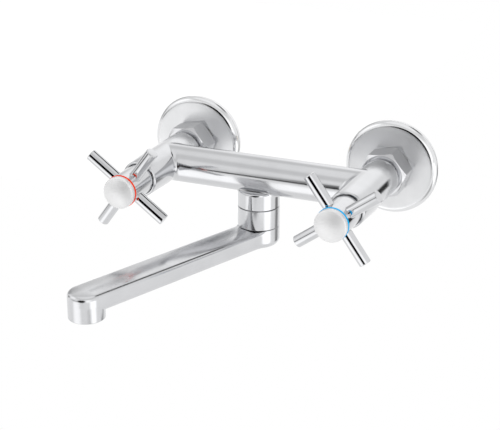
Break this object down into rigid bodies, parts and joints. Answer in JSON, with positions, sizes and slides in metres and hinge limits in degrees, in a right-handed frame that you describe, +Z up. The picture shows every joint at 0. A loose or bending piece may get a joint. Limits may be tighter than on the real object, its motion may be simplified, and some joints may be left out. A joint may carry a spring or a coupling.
{
  "type": "wall-mounted mixer tap",
  "caption": "Wall-mounted mixer tap: round chromed crossbar on wall flanges, cross handles with hot and cold rings, and a flat swivelling spout with an aerator.",
  "frame": {"origin": "on the finished wall, midway between the hot and the cold inlet, at the height of the inlets", "axes": "+X to the cold (right) side seen from the front, +Y into the wall, +Z up"},
  "size_m": [0.217, 0.2318, 0.0898],
  "materials": {
    "chrome_body": "polished",
    "chrome_trim": "polished",
    "chrome_handle": "polished",
    "chrome_spout": "polished",
    "brass_union": "machined",
    "brass_valve": "machined",
    "steel_small": "satin",
    "ceramic_disc": "lapped",
    "rubber_seal": "matt",
    "fibre_gasket": "matt",
    "acetal_ring": "satin",
    "aerator_plastic": "satin",
    "index_red": "gloss",
    "index_blue": "gloss"
  },
  "bodies": {
    "fixed": {"body": "chrome_body", "hot_wall_union": "brass_union", "cold_wall_union": "brass_union", "hot_wall_flange": "chrome_trim", "cold_wall_flange": "chrome_trim", "hot_union_nut": "chrome_trim", "cold_union_nut": "chrome_trim", "hot_inlet_gasket": "fibre_gasket", "cold_inlet_gasket": "fibre_gasket", "hot_inlet_tail": "brass_union", "cold_inlet_tail": "brass_union", "hot_seat_seal": "rubber_seal", "cold_seat_seal": "rubber_seal", "hot_fixed_disc": "ceramic_disc", "cold_fixed_disc": "ceramic_disc", "hot_headwork": "brass_valve", "cold_headwork": "brass_valve", "hot_sleeve": "chrome_trim", "cold_sleeve": "chrome_trim", "spout_collar": "chrome_trim", "spout_slide_ring": "acetal_ring"},
    "hot_handle": {"hot_spindle": "brass_valve", "hot_spindle_o_rings": "rubber_seal", "hot_spindle_clip": "steel_small", "hot_moving_disc": "ceramic_disc", "hot_hub": "chrome_handle", "hot_rods": "chrome_handle", "hot_index_ring": "index_red", "hot_cap": "chrome_handle", "hot_screw": "steel_small"},
    "cold_handle": {"cold_spindle": "brass_valve", "cold_spindle_o_rings": "rubber_seal", "cold_spindle_clip": "steel_small", "cold_moving_disc": "ceramic_disc", "cold_hub": "chrome_handle", "cold_rods": "chrome_handle", "cold_index_ring": "index_blue", "cold_cap": "chrome_handle", "cold_screw": "steel_small"},
    "spout": {"spout": "chrome_spout", "spout_o_rings": "rubber_seal", "spout_split_ring": "acetal_ring", "aerator_washer": "rubber_seal", "aerator_insert": "aerator_plastic", "aerator_shell": "chrome_trim"}
  },
  "joints": [
    {"name": "hot_handle_turn", "type": "hinge", "parent": "fixed", "child": "hot_handle", "pos_m": [-0.075, -0.116, 0], "axis": [0, -1, 0], "range_deg": [0, 90]},
    {"name": "cold_handle_turn", "type": "hinge", "parent": "fixed", "child": "cold_handle", "pos_m": [0.075, -0.116, 0], "axis": [0, 1, 0], "range_deg": [0, 90]},
    {"name": "spout_swivel", "type": "hinge", "parent": "fixed", "child": "spout", "pos_m": [-0.0042, -0.0567, -0.03], "axis": [0, 0, 1], "range_deg": [-83.9, 126.1]}
  ]
}
